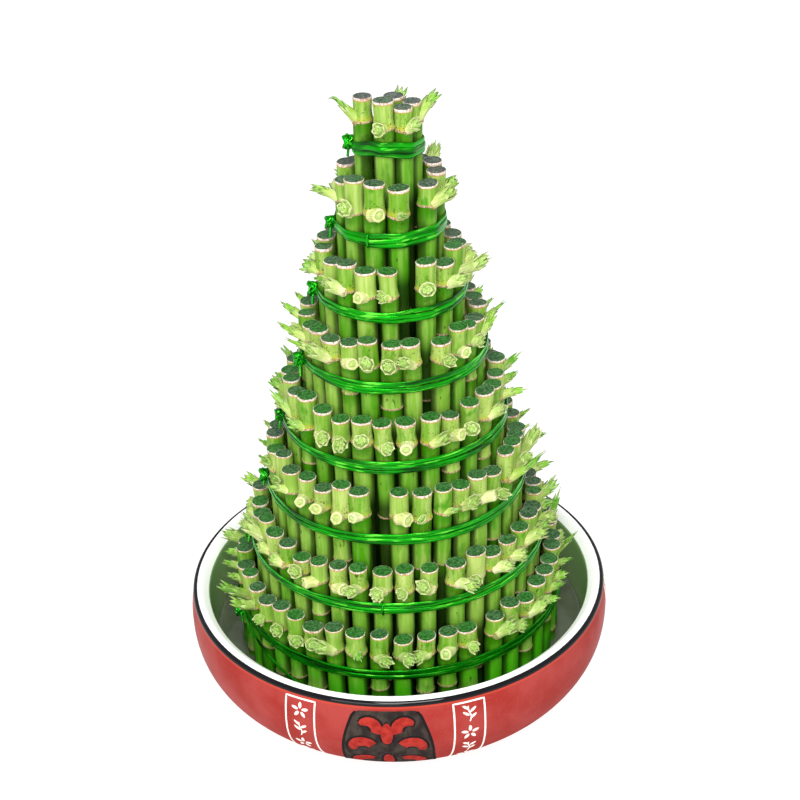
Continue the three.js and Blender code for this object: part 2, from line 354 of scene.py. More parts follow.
# %% Bend a bar along a path
def bent(name, path, radius, resolution, closed=False, twist="MINIMUM"):
    """A round bar along points of (X, Y, Z, share of the radius), in millimetres."""
    bpy.ops.object.select_all(action="DESELECT")
    bpy.ops.curve.primitive_bezier_curve_add()
    line = bpy.context.object
    line.name = name
    line.data.splines.clear()
    spline = line.data.splines.new("POLY")
    spline.points.add(len(path) - 1)
    for point, (x, y, z, share) in zip(spline.points, path):
        point.co = (x * MM, y * MM, z * MM, 1)
        point.radius = share
    spline.use_cyclic_u = closed
    line.data.dimensions = "3D"
    line.data.twist_mode = twist
    line.data.bevel_depth = radius * MM
    line.data.bevel_resolution = resolution
    line.data.use_fill_caps = not closed
    bpy.ops.object.convert(target="MESH")
    bpy.ops.object.shade_smooth()
    return bpy.context.object


# %% Points in, points out
def points_of(piece):
    """The places of a mesh's points, in millimetres."""
    flat = np.empty(len(piece.data.vertices) * 3)
    piece.data.vertices.foreach_get("co", flat)
    return flat.reshape(-1, 3) / MM


def move_points(piece, points):
    piece.data.vertices.foreach_set("co", (points * MM).ravel())
    piece.data.update()


def keep_measures(piece, **measures):
    """Store numbers at each point, for a material to read. A single number goes to all the points."""
    count = len(piece.data.vertices)
    for name, amounts in measures.items():
        measure = piece.data.attributes.new(name, "FLOAT", "POINT")
        spread_out = np.broadcast_to(np.asarray(amounts, dtype=np.float32), count)
        measure.data.foreach_set("value", np.ascontiguousarray(spread_out))


def twin(pattern, name):
    """A copy with its own mesh."""
    made = pattern.copy()
    made.data = pattern.data.copy()
    made.name = name
    bpy.context.collection.objects.link(made)
    return made


def joined(pieces, name):
    only(pieces[0])
    for piece in pieces:
        piece.select_set(True)
    bpy.ops.object.join()
    whole = bpy.context.object
    whole.name = name
    whole.data.name = name
    return whole


def hand_over(piece, finish, nodes):
    """Give a finished piece its material, its body and the solids that it stands for."""
    piece.data.materials.clear()
    piece.data.materials.append(finish.material)
    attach(piece, BODY)
    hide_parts(*nodes)
    print(piece.name, "has", len(piece.data.polygons), "faces")


# %% [markdown]
# ## The bowl
#
# The bowl is thrown on a wheel: a round belly over a narrower foot, and a wide rim that slopes down
# inside. A lathe is the natural tool, so its profile is drawn and spun. The wall stays a hair inside
# the solid's, because the painted relief is laid on it. The distance along the profile is stored at
# each point, so that the material can lay its bands of glaze by it.

# %% The bowl's profile
FOOT_RADIUS = 98
BELLY_RADIUS = 131.55
BELLY_HEIGHT = 55
FOOT_HEIGHT = 3
FLOOR_TOP = 11
INNER_RADIUS = 117.5
INNER_FLOOR_RADIUS = 103
WATER_LEVEL = 34
UPPER_CURVE = 0.01
LOWER_STEPS = 22
INNER_STEPS = 8
BOWL_STEPS = 144


def lower_wall(turn):
    """The wall from the foot, turn 0, to the belly, turn 90 degrees."""
    radius = FOOT_RADIUS + (BELLY_RADIUS - FOOT_RADIUS) * math.sin(turn) ** 1.8
    height = BELLY_HEIGHT - (BELLY_HEIGHT - FOOT_HEIGHT) * max(0, math.cos(turn)) ** 0.8
    return radius, height


def upper_wall(height):
    return BELLY_RADIUS - UPPER_CURVE * (height - BELLY_HEIGHT) ** 2, height


def inner_curve(first, clearance=0.0):
    """The inner wall from the water's level, step 0, down to the floor."""
    curve = []
    for step in range(first, INNER_STEPS + 1):
        turn = math.radians(90 * step / INNER_STEPS)
        curve.append((
            INNER_FLOOR_RADIUS + (INNER_RADIUS - INNER_FLOOR_RADIUS) * math.cos(turn) - clearance,
            FLOOR_TOP + (WATER_LEVEL - FLOOR_TOP) * (1 - math.sin(turn)) + clearance,
        ))
    return curve


foot = [(0, 3), (60, 3), (86, 3), (89, 2.6), (90.4, 0.5), (91.6, 0), (96.4, 0), (97.6, 0.6), (98, 1.8)]
wall = [lower_wall(math.radians(90 * step / LOWER_STEPS)) for step in range(LOWER_STEPS + 1)]
wall += [upper_wall(height) for height in (57.5, 60, 62.5, 65, 67.2)]
# The black line lies on a small bead from the first of these points to the second, and the white
# slope reaches from there to the third
BEAD_FOOT = (129.8, 68.9)
WHITE_TOP = (127.3, 71.1)
WHITE_FOOT = (120.1, 68.3)
rim = [BEAD_FOOT, (129.9, 69.6), (129.6, 70.5), (128.9, 71.3), (128.1, 71.6), (127.6, 71.4), WHITE_TOP]
rim += [(127, 71.6), (126.3, 72.5), (125.3, 72.9), (124, 72.1), (122.2, 70.4), (120.9, 69.1), WHITE_FOOT]
rim += [(119.7, 67.8), (119.5, 67.1), (119.35, 66.2), (119.2, 65), (119.05, 63.5)]
inside = [(118.3, 58), (117.8, 46), (INNER_RADIUS, WATER_LEVEL), *inner_curve(1)]
inside += [(80, FLOOR_TOP), (50, FLOOR_TOP), (0, FLOOR_TOP)]
bowl_profile = foot + wall + rim + inside
bowl = turned("glazed_bowl", bowl_profile, BOWL_STEPS)

profile_points = np.array(bowl_profile)
profile_run = np.concatenate([[0], np.cumsum(np.hypot(*np.diff(profile_points, axis=0).T))])


def run_of(piece):
    """How far along the bowl's profile each point lies, from the middle of the foot."""
    points = points_of(piece)
    radii = np.hypot(points[:, 0], points[:, 1])
    misses = np.hypot(radii[:, None] - profile_points[:, 0], points[:, 2][:, None] - profile_points[:, 1])
    return profile_run[misses.argmin(axis=1)]


keep_measures(bowl, run=run_of(bowl))


def run_at(point):
    return float(profile_run[bowl_profile.index(point)])


print("run from the foot's middle to the black bead:", round(run_at(BEAD_FOOT), 1), "mm")

# %% [markdown]
# The glaze is a clear red with darker and paler clouds in it, over a fine orange peel. A glossy black
# line runs round the rim on its bead, with a brighter red line under it, which is a painted highlight.
# The rim's slope is white, and the inside is an olive that gets paler towards the water. All the bands
# are steps on the stored distance, each with a little wobble, as a brush leaves them.

# %% The bowl's glaze
glaze = Finish("red_glaze", {"Coat Roughness": 0.05, "IOR": 1.5, "Specular IOR Level": 0.0})
bead_at, white_at, olive_at = (run_at(point) for point in (BEAD_FOOT, WHITE_TOP, WHITE_FOOT))
run = glaze.measures("run")[0] + (glaze.noise(9) - 0.5) * 0.3


def beyond(place, soft):
    """1 further along the profile than a place, with a soft edge in millimetres to each side."""
    return run.rise(place - soft, place + soft)


def before(place, soft):
    return run.fall(place - soft, place + soft)


clouds = glaze.noise(26, detail=3.0)
fine = glaze.noise(1.6, detail=3.0)
depth = glaze.height()
red = glaze.painted(
    glaze.mix(clouds.rise(0.35, 0.68), (150, 43, 37), (161, 60, 55)),
    (fine.rise(0.55, 0.75) * 0.3, (180, 80, 72)),
    # A painted highlight: a brighter red line just under the black bead
    (run.rise(bead_at - 1.9, bead_at - 0.9) * 0.7, (190, 66, 48)))
black = glaze.mix(clouds, (4, 4, 8), (12, 12, 18))
white = glaze.mix(fine, (246, 247, 245), (254, 254, 252))
olive = glaze.mix(clouds, (122, 157, 98), (136, 169, 112))
olive = glaze.mix(depth.fall(40, 64), olive, (158, 184, 132))
glaze.drive("Base Color", glaze.painted(
    red, (beyond(bead_at, 0.15), black), (beyond(white_at, 0.12), white), (beyond(olive_at, 0.25), olive)))
glaze.drive("Roughness", 0.2 + fine * 0.1)
on_bead = beyond(bead_at, 0.2) * before(white_at, 0.2)
outside = before(bead_at, 0.2)
glaze.drive("Coat Weight", (0.12 + clouds * 0.14) * depth.rise(12, 50) * outside + on_bead * 0.5 + 0.02)
glaze.bump(fine * 0.5 + clouds * 0.5, 0.07)
hand_over(bowl, glaze, ["bowl"])

# %% [markdown]
# ## Painted relief on the wall
#
# Three times round the bowl there is a dark plaque with smooth red scrolls raised on it, between two
# upright white frames with small white flowers. Relief like this is trailed on with thick glaze, so
# each stroke is a curve with a flat rounded section. It is drawn on a flat sheet first, across and
# down in millimetres, and then laid on the wall, because a flat drawing is far easier to place.

# %% Lay a flat drawing on the wall
wall_points = np.array([BEAD_FOOT, *reversed(wall)])
wall_down = np.concatenate([[0], np.cumsum(np.hypot(*np.diff(wall_points, axis=0).T))])
# How far below the black bead the top of a drawing lies, in millimetres
DRAWING_TOP = 2.3
print("wall from the bead down to the foot:", round(float(wall_down[-1]), 1), "mm")


def lay_on_wall(piece, middle, lean):
    """Wrap a flat drawing (X across, Y up, Z off the wall) round the wall, middle in degrees."""
    points = points_of(piece)
    down = DRAWING_TOP - points[:, 1]
    radii = np.interp(down, wall_down, wall_points[:, 0])
    heights = np.interp(down, wall_down, wall_points[:, 1])
    step = 0.5
    slope_r = (np.interp(down + step, wall_down, wall_points[:, 0]) - radii) / step
    slope_z = (np.interp(down + step, wall_down, wall_points[:, 1]) - heights) / step
    steep = np.hypot(slope_r, slope_z)
    out_r = radii - slope_z / steep * points[:, 2]
    out_z = heights + slope_r / steep * points[:, 2]
    angle = np.radians(middle - 90) + (points[:, 0] + lean * down) / radii
    move_points(piece, np.stack([out_r * np.cos(angle), out_r * np.sin(angle), out_z], axis=1))
    return piece


def stroke(name, path, thickness, closed=False):
    """A trailed line of glaze. The path's points are (across, up, half width)."""
    widest = max(width for _, _, width in path)
    path = [(across, up, 0, width / widest) for across, up, width in path]
    line = bent(name, path, widest, resolution=2, closed=closed, twist="Z_UP")
    points = points_of(line)
    points[:, 2] *= thickness / widest
    move_points(line, points)
    return line


# %% Shapes for the strokes
def comma(across, up, size, start, sweep, fat, steps=14):
    """A comma: round head, and a tail that curls in. Angles in degrees, sizes in millimetres."""
    path = []
    for step in range(steps + 1):
        share = step / steps
        turn = math.radians(start + sweep * share)
        reach = size * (1 - 0.45 * share)
        width = fat * (0.25 + 0.75 * math.sin(math.pi * min(1, 0.28 + 0.72 * share)) ** 0.8)
        path.append((across + reach * math.cos(turn), up + reach * math.sin(turn), width))
    return path


def straight(start, end, width, step=2.0):
    count = max(1, round(math.dist(start, end) / step))
    return [(start[0] + (end[0] - start[0]) * i / count, start[1] + (end[1] - start[1]) * i / count, width)
            for i in range(count)]


def leaf(across, up, angle, long, fat, steps=5):
    """A leaf or petal from its stem end outwards."""
    turn = math.radians(angle)
    path = []
    for step in range(steps + 1):
        share = step / steps
        width = fat * max(0.12, math.sin(math.pi * (0.1 + 0.85 * share)) ** 0.7)
        path.append((across + long * share * math.cos(turn), up + long * share * math.sin(turn), width))
    return path


# %% Two frames and a plaque, three times round the bowl
# In degrees round the bowl: the middle of each group, and each frame's place from it. A frame's lean
# is how far it goes across for each millimetre down.
GROUPS = [-4.5, 108.0, 235.0]
FRAME_PLACES = [(-22.6, -0.05), (21.2, 0.02)]
FRAME_HALF_WIDTH = 9.4
FRAME_LONG = 60
FRAME_LINE = 0.62
# How far each kind of stroke stands off the wall, and how far a scroll's black border reaches past it
STROKE_RAISE = 0.3
SCROLL_RAISE = 0.46
EDGE_RAISE = 0.34
BORDER_RAISE = 0.36
BORDER_REACH = 2
PLAQUE_LONG = 62


def frame_drawing(kind):
    """A white frame round a column of small flowers and leaf sprigs."""
    corners = [(-FRAME_HALF_WIDTH, 0), (FRAME_HALF_WIDTH, 0), (FRAME_HALF_WIDTH, -FRAME_LONG),
               (-FRAME_HALF_WIDTH, -FRAME_LONG)]
    outline = []
    for start, end in zip(corners, corners[1:] + corners[:1]):
        outline += straight(start, end, FRAME_LINE)
    lines = [stroke("frame_line", outline, STROKE_RAISE, closed=True)]
    for index in range(4):
        middle = -8.0 - index * 14.6
        if (index + kind) % 2 == 0:
            for petal in range(5):
                angle = 90 + petal * 72
                root = math.radians(angle)
                path = leaf(1.4 * math.cos(root), middle + 1.4 * math.sin(root), angle, 4.2, 1.15)
                lines.append(stroke("petal", path, STROKE_RAISE))
        else:
            stem = [(0.8 * math.sin(step * 0.6), middle - 5.6 + step * 1.2, 0.45) for step in range(10)]
            lines.append(stroke("stem", stem, STROKE_RAISE))
            for side, up in ((1, -3.4), (-1, -1.2), (1, 1.0), (-1, 3.0)):
                path = leaf(side * 0.4, middle + up, 90 - side * 52, 4.6, 0.95)
                lines.append(stroke("sprig_leaf", path, STROKE_RAISE))
    return joined(lines, "frame_drawing")


# %% The plaque's scrolls
def scroll_paths():
    """Red commas and petals in mirrored pairs round an upright bud: a plain lotus scroll."""
    paths = [leaf(0, -25.5, 90, 19, 4.6, steps=12), leaf(0, -55, 90, 22, 4.2, steps=12)]
    for side in (1, -1):
        for across, up, size, start, sweep, fat in (
            (11.6, -12.3, 6.2, 215, -215, 4.5),
            (15.2, -29.8, 7.4, 150, -200, 4.9),
            (12.6, -49.0, 8.0, 120, -200, 4.8),
        ):
            path = comma(across, up, size, start, sweep, fat)
            paths.append([(side * x, y, w) for x, y, w in path])
    return paths


def plaque_width(share):
    """Half the plaque's width from its top, share 0, to its foot, share 1."""
    body = 19.5 + 8.0 * math.sin(math.pi / 2 * min(1, share / 0.55))
    corner = min(1, share / 0.09, (1 - share) / 0.09)
    return body * (0.8 + 0.2 * math.sqrt(max(0, 1 - (1 - corner) ** 2)))


def plaque_edge():
    """The dark line round the plaque: down its right side and up its left side."""
    shares = [0.03 + 0.94 * step / 24 for step in range(25)]
    right = [(plaque_width(share) - 0.9, -share * PLAQUE_LONG, 0.85) for share in shares]
    return right + [(-across, up, width) for across, up, width in reversed(right)]


def plaque_ground():
    """A thin dark sheet with rounded corners. Its border goes down into the wall."""
    bpy.ops.object.select_all(action="DESELECT")
    bpy.ops.mesh.primitive_grid_add(x_subdivisions=24, y_subdivisions=40, size=2 * MM)
    sheet = bpy.context.object
    sheet.name = "plaque_ground"
    points = points_of(sheet)
    share = (1 - points[:, 1]) / 2
    edge = np.maximum(abs(points[:, 0]), abs(points[:, 1]))
    points[:, 2] = np.where(edge > 0.999, -0.1, 0.2)
    points[:, 0] *= [plaque_width(s) for s in share]
    points[:, 1] = -share * PLAQUE_LONG
    move_points(sheet, points)
    bpy.ops.object.shade_smooth()
    return sheet


# %% Make the relief pieces
def around(drawing, name, places):
    """Copies of one drawing, laid on the wall at several places and joined."""
    copies = []
    for index, (middle, lean) in enumerate(places):
        copies.append(lay_on_wall(twin(drawing, f"{name}_{index}"), middle, lean))
    bpy.data.objects.remove(drawing)
    return joined(copies, name)


frame_places = [[(group + offset, lean) for group in GROUPS] for offset, lean in FRAME_PLACES]
left_frames = around(frame_drawing(0), "left_frames", frame_places[0])
right_frames = around(frame_drawing(1), "right_frames", frame_places[1])
plaque_places = [(group, 0) for group in GROUPS]
grounds = around(plaque_ground(), "plaque_grounds", plaque_places)
scrolls = [stroke("scroll", path, SCROLL_RAISE) for path in scroll_paths()]
scrolls = around(joined(scrolls, "scroll_drawing"), "red_scrolls", plaque_places)
borders = [stroke("plaque_edge", plaque_edge(), EDGE_RAISE, closed=True)]
for path in scroll_paths():
    borders.append(stroke("scroll_border", [(x, y, w + BORDER_REACH) for x, y, w in path], BORDER_RAISE))
borders = around(joined(borders, "border_drawing"), "scroll_borders", plaque_places)
print("relief pieces:", left_frames.name, right_frames.name, grounds.name, scrolls.name, borders.name)

# %% [markdown]
# The relief has four paints: a warm white that is thin in places, so that the red shows through, a
# cloudy dark grey wash, a nearly black line, and for the scrolls a red close to the bowl's own. They
# differ only in their tints, their gloss and their grain, so one helper makes all four.

# %% The relief's paints
def relief_paint(name, patch, tints, gloss, rough, relief, spread=None, upright=1, detail=2.0):
    """A paint in patches of two tints, with a clear coat of (weight, roughness). The coat fades towards
    the foot, where it would only mirror the pale floor."""
    finish = Finish(name, {"Specular IOR Level": 0.0, "Coat Roughness": gloss[1]})
    finish.drive("Coat Weight", finish.height().rise(12, 50) * gloss[0])
    patches = finish.noise(patch, stretch=(1, 1, upright), detail=detail)
    finish.drive("Base Color", finish.mix(patches.rise(*spread) if spread else patches, *tints))
    finish.drive("Roughness", rough[0] + patches * rough[1])
    finish.bump(patches, relief)
    return finish


white_paint = relief_paint("white_slip", 1.4, [(240, 234, 226), (226, 176, 166)], (0.15, 0.1), (0.25, 0.15),
                           0.08, spread=(0.52, 0.75), detail=3.0)
wash = relief_paint("grey_wash", 5, [(40, 34, 32), (66, 58, 52)], (0.1, 0.1), (0.3, 0.2),
                    0.12, spread=(0.35, 0.7), upright=2, detail=3.0)
line_paint = relief_paint("black_line", 2.2, [(14, 11, 13), (32, 24, 25)], (0.2, 0.06), (0.2, 0.15), 0.06)
scroll_glaze = relief_paint("scroll_glaze", 4, [(140, 30, 24), (168, 48, 38)], (0.2, 0.06), (0.2, 0.12),
                            0.1, spread=(0.3, 0.7))
for piece, paint_finish in (
    (left_frames, white_paint),
    (right_frames, white_paint),
    (grounds, wash),
    (borders, line_paint),
    (scrolls, scroll_glaze),
):
    hand_over(piece, paint_finish, ["bowl"])

# %% [markdown]
# ## The water
#
# The bowl holds still water round the foot of the tower. The picture hardly shows it: a faint grey
# arc low on the inner wall is taken for its edge. It climbs a little at the wall, as water does. It
# is turned like the bowl, and reaches in past the outer canes, which stand in it.

# %% Water with its curled edge
WATER_HOLE = 86
EDGE_CLEARANCE = 0.15

water_profile = [(WATER_HOLE, 11.6), (WATER_HOLE, WATER_LEVEL), (104, WATER_LEVEL), (112, WATER_LEVEL)]
water_profile += [(115.4, WATER_LEVEL + 0.1), (116.6, WATER_LEVEL + 0.4), (117.3, WATER_LEVEL + 0.9)]
water_profile += inner_curve(0, EDGE_CLEARANCE)
water_profile += [(WATER_HOLE, FLOOR_TOP + 0.6)]
water = turned("still_water", water_profile, BOWL_STEPS)

still = Finish("still_water", {"IOR": 1.33, "Roughness": 0.05, "Specular IOR Level": 0.5})
murk = still.noise(14, detail=3.0)
still.drive("Base Color", still.mix(murk, (86, 94, 76), (104, 114, 90)))
still.drive("Alpha", 0.8 + murk * 0.14)
still.bump(still.noise(11, detail=1.0), 0.15)
hand_over(water, still, ["water"])

# %% [markdown]
# ## How each cane grew
#
# The solids of the part give every cane its place, height, node and sprout by three tables and a
# small random rule. The same tables and rule, with the same first number, give the same tower here,
# so each cane stands at its solid's place. Its width and its bend are the scene's own, and make some
# neighbours press into each other by a millimetre or two.

# %% The tables of the tower
# Rings from the top one down: the tie's height, the cut ends and the top nodes above it in
# millimetres, the angle between two canes at the front, and the number of canes
RING_COLUMNS = ["tie", "top", "node", "pitch", "count"]
RINGS = [dict(zip(RING_COLUMNS, row)) for row in (
    [361.5, 25.5, 12.8, 47, 5],
    [314.5, 29.5, 14.3, 30, 12],
    [273.5, 26.6, 11.8, 20.3, 18],
    [235.5, 24.2, 11.5, 14.1, 25],
    [190.5, 28, 12.5, 12.3, 29],
    [149, 27.7, 12, 10, 35],
    [108.5, 23.2, 10.5, 9, 40],
    [69.5, 24.5, 10.8, 8.05, 45],
)]
# The front of each lower ring: the first cane's angle, how many canes keep to the pitch, and the one
# wider gap between them. An angle of 270 degrees faces the front.
FRONT_COLUMNS = ["first", "front", "gap_after", "gap"]
FRONTS = [dict(zip(FRONT_COLUMNS, row)) for row in (
    [189.5, 6, 3, 12.5],
    [186.3, 8, 4, 12],
    [183.1, 12, 7, 6],
    [202.2, 12, 0, 0],
    [212.6, 12, 4, 7.5],
    [208.6, 14, 8, 2.6],
    [205.3, 16, 11, 2.5],
)]
# The canes of the top ring, one by one: angles in degrees and lengths in millimetres. The cut ends of
# the last of them and of the middle cane are a little off their solids', as the picture shows them.
CROWN_COLUMNS = ["angle", "top", "node", "leafy", "long", "roll", "rise", "swing"]
CROWN = [
    [191, 26.8, 13.5, True, 21, 10, 36, 4],
    [261, 28.1, 12.8, False, 8, 0, 15, -10],
    [308, 22.8, 10.5, True, 13, 40, 48, 16],
    [352, 22.8, 12.4, True, 21, 25, 45, 22],
    [80, 18.5, 10, True, 14, 0, 30, -20],
]
# One more cane, without a sprout, stands in the middle of the top ring
MIDDLE_CANE = {"angle": 30, "radius": 4, "top": 25, "node": 10, "middle": True}
print("canes with a sprout:", sum(ring["count"] for ring in RINGS))

# %% Draw the growth again
FIRST_RING_RADIUS = 13.6
RING_SPACING = 11.7
CANE_FOOT = FLOOR_TOP + 0.3
LEAN = 0.012
GROWTH_SEED = 20260


def drawing_of_lots(seed):
    """A function that gives the next number from 0 to 1 of a fixed row of random numbers."""
    state = seed

    def draw():
        nonlocal state
        state = (state * 1664525 + 1013904223) % 4294967296
        return state / 4294967296

    return draw


def cane_angle(number, index):
    """The angle in degrees of a cane of one of the lower rings."""
    ring, start = RINGS[number], FRONTS[number - 1]
    if index < start["front"]:
        gap = start["gap"] if index > start["gap_after"] else 0
        return start["first"] + index * ring["pitch"] + gap
    last = start["first"] + (start["front"] - 1) * ring["pitch"] + start["gap"]
    step = (start["first"] + 360 - last) / (ring["count"] - start["front"] + 1)
    return last + (index - start["front"] + 1) * step


def crown_canes():
    tie = RINGS[0]["tie"]
    rows = [dict(zip(CROWN_COLUMNS, row)) for row in CROWN]
    rows.append({**rows[0], **MIDDLE_CANE})
    canes = []
    for row in rows:
        cane = {"ring": 0, "tie": tie, "radius": FIRST_RING_RADIUS, **row}
        cane["top"] += tie
        cane["node"] += tie
        for turn in ("angle", "roll", "rise", "swing"):
            cane[turn] = math.radians(cane[turn])
        canes.append(cane)
    return canes


def draw_tower():
    draw = drawing_of_lots(GROWTH_SEED)

    def spread(amount):
        return (2 * draw() - 1) * amount

    def between(low, high):
        return low + (high - low) * draw()

    tower = crown_canes()
    for number, ring in list(enumerate(RINGS))[1:]:
        for index in range(ring["count"]):
            cane = {"ring": number, "tie": ring["tie"], "angle": math.radians(cane_angle(number, index))}
            cane["radius"] = FIRST_RING_RADIUS + RING_SPACING * number
            cane["top"] = ring["tie"] + ring["top"] + spread(3)
            cane["node"] = ring["tie"] + ring["node"] + spread(1.5)
            cane["leafy"] = draw() < 0.55
            cane["long"] = between(13, 21) if cane["leafy"] else between(6, 9)
            cane["roll"] = math.radians(spread(70))
            cane["rise"] = math.radians(between(15, 45))
            cane["swing"] = math.radians(spread(38))
            tower.append(cane)
    return tower


tower = draw_tower()
print("canes:", len(tower), "highest top:", round(max(cane["top"] for cane in tower), 1), "mm")

# %% [markdown]
# ## The canes
#
# A cane is a round stem with a raised scar at each node. The stretch above the top node is paler and
# a little waisted, and the cut end is sealed with dark green wax nearly to its edge, where a thin
# white lip is left. A few patterns are drawn out of a bar, and every cane is a copy of one of them
# whose nodes are slid to their places. Distances from the cut and the nodes are stored for the skin.

# %% The cane patterns
CANE_SIDES = 14
CANE_HALF = 5.7
# Heights on a pattern: foot, lower node, top node and cut end
PATTERN_LOW = 40
PATTERN_NODE = 80
PATTERN_TOP = 100
CANE_SHAPE_COLUMNS = ["waist", "scar", "lip", "below"]
CANE_SHAPES = [dict(zip(CANE_SHAPE_COLUMNS, row)) for row in (
    [0.95, 1.10, 1.01, 0.99],
    [0.92, 1.11, 1.04, 1.0],
    [0.97, 1.07, 0.99, 0.97],
    [0.99, 1.05, 0.95, 1.0],
    [0.93, 1.12, 0.97, 1.02],
)]


def cane_pattern(index, shape):
    lip = shape["lip"]
    widths = [
        (0, 1.0), (35, 0.98), (38.9, 1.0), (39.6, 1.05), (40.3, 1.03), (41, 0.97), (45, 0.95),
        (72, shape["below"]), (78.7, shape["below"] * 1.01), (79.4, shape["scar"] - 0.02),
        (80, shape["scar"]), (80.6, shape["scar"] - 0.05), (82.4, 0.985), (88, shape["waist"]),
        (95, (shape["waist"] + lip) / 2), (98.9, lip), (99.8, lip * 0.995), (100, lip * 0.95),
        (99.85, lip * 0.9), (99.95, lip * 0.5),
    ]
    levels = [(height, CANE_HALF * width, CANE_HALF * width) for height, width in widths]
    return drawn_out(f"cane_pattern_{index}", CANE_SIDES, levels)


cane_patterns = [cane_pattern(index, shape) for index, shape in enumerate(CANE_SHAPES)]
print("faces of one cane:", len(cane_patterns[0].data.polygons))

# %% Fit a copy of a pattern to its place
# No cane or sprout rises above this height, which lies just inside the solids' box
HIGHEST = cad_box[1][2] / MM - 0.1
# How pale the palest cane of each ring is, from the top ring down
CANE_TONES = [0.65, 0.9, 0.9, 0.9, 1.0, 1.0, 1.0, 0.5]
LOOKS_SEED = 4711
looks = drawing_of_lots(LOOKS_SEED)


def chance(low, high):
    return low + (high - low) * looks()


def lean_over(points):
    """The whole tower leans a little to the right, so each height is shifted by its share."""
    points[:, 0] += LEAN * (points[:, 2] - CANE_FOOT)
    return points


def turned_by(points, angle):
    cos, sin = math.cos(angle), math.sin(angle)
    across = points[:, 0] * cos - points[:, 1] * sin
    along = points[:, 0] * sin + points[:, 1] * cos
    return np.stack([across, along, points[:, 2]], axis=1)


def tilted(points, cane):
    """Above its tie a cane bends outwards and sideways a little."""
    over = np.maximum(0, points[:, 2] - cane["tie"])
    points[:, 0] += cane["out"] * over
    points[:, 1] += cane["side"] * over
    return points


def cover_height(cane):
    """The height below which the next ring out hides a cane."""
    outer = cane["ring"] + 1
    return RINGS[outer]["tie"] + RINGS[outer]["top"] if outer < len(RINGS) else 0


def stand_cane(cane, index):
    in_crown = cane["ring"] == 0
    cane["out"] = 0.0 if in_crown else chance(0.0, 0.05)
    cane["side"] = chance(-0.02, 0.02) if in_crown else chance(-0.06, 0.06)
    wide = chance(0.94, 1.02) if in_crown else chance(0.93, 1.12)
    deep = chance(0.93, 0.99)
    low = max(CANE_FOOT + 6, cane["node"] - (chance(19, 36) if looks() < 0.35 else chance(38, 75)))
    if in_crown:
        low = cane["node"] - 62
    droop = chance(0.5, 2.4)
    slant = 0.0 if in_crown else chance(-0.07, 0.07)
    piece = twin(cane_patterns[int(looks() * len(cane_patterns))], f"cane_{index}")
    points = points_of(piece)
    pattern_height = points[:, 2].copy()
    ring = np.hypot(points[:, 0], points[:, 1])
    ring = ring / ring[abs(pattern_height - 98.9) < 0.01].max()
    heights = np.interp(
        pattern_height,
        [0, PATTERN_LOW - 5, PATTERN_LOW + 5, PATTERN_NODE - 8, PATTERN_NODE + 3, PATTERN_TOP - 2,
         PATTERN_TOP],
        [CANE_FOOT, low - 5, low + 5, cane["node"] - 8, cane["node"] + 3, cane["top"] - 2, cane["top"]])
    on_cut = (pattern_height > 99) & (ring < 0.97)
    around_stem = np.arctan2(points[:, 1], points[:, 0])
    # The share of painted shade round a cane: full on its inner half and on the middle cane, and more on the
    # sides, where it touches its neighbours, than at the front
    shaded_half = (np.cos(around_stem) < 0) | ("middle" in cane)
    tone = looks() * CANE_TONES[cane["ring"]]
    spots = looks()
    keep_measures(
        piece,
        from_top=np.where(on_cut, 0, cane["top"] - heights),
        from_node=heights - cane["node"],
        from_low=heights - low,
        ring=np.where(on_cut, ring, 1.0),
        flank=np.where(shaded_half, 1, abs(np.sin(around_stem))),
        cover=cover_height(cane),
        tone=tone,
        spots=0.65 + 0.35 * spots if in_crown else spots,
        wax=wax_tone(cane))
    near_node = np.clip(1 - abs(heights - cane["node"]) / 6, 0, 1)
    heights = heights - droop * near_node * np.maximum(0, np.cos(around_stem - cane["swing"])) ** 3
    heights += slant * points[:, 1] * np.clip(1 - (cane["top"] - heights) / 4, 0, 1)
    points[:, 0] *= deep
    points[:, 1] *= wide
    points[:, 2] = np.minimum(heights, HIGHEST)
    points = tilted(points, cane)
    points[:, 0] += cane["radius"]
    move_points(piece, lean_over(turned_by(points, cane["angle"])))
    return piece


def wax_tone(cane):
    """0 for a fresh green wax disc and 1 for a dull grey one, which sit higher up and at the back."""
    back = 0.5 + 0.5 * math.sin(cane["angle"])
    high = max(0, 1 - cane["ring"] / 3) ** 2
    return min(1.0, max(0.0, 0.8 * back + 0.95 * high - 0.1 + chance(-0.35, 0.45)))


rings_of_canes = []
for number in range(len(RINGS)):
    copies = [stand_cane(cane, i) for i, cane in enumerate(tower) if cane["ring"] == number]
    rings_of_canes.append(joined(copies, f"ring_{number + 1}_canes"))
for pattern in cane_patterns:
    bpy.data.objects.remove(pattern)
print("rings of canes:", len(rings_of_canes))

# %% [markdown]
# The skin of a cane is waxy and green. It is darkest just under a node, pale and yellowish above the
# node, and streaked along its length. Shade is painted on it where it touches the next cane and behind
# the next ring. A thin tan scar marks each node, with brown specks round some. At the cut the wax
# leaves an uneven white lip with an orange line under it. One material serves all the canes, because it
# reads the distances and the tones that are stored on each of them.

# %% The canes' skin
skin = Finish("cane_skin", {"IOR": 1.45, "Specular IOR Level": 0.1})
from_top, from_node, from_low, ring, flank, cover, tone, spots, wax_age = skin.measures(
    "from_top", "from_node", "from_low", "ring", "flank", "cover", "tone", "spots", "wax")
height = skin.height()
streaks = skin.noise(2.6, stretch=(1, 1, 12), detail=3.0)
blotches = skin.noise(5.5, stretch=(1, 1, 2.2), detail=3.0)
grain = skin.noise(0.55, stretch=(1, 1, 3))
wobble = skin.noise(2.6) - 0.5

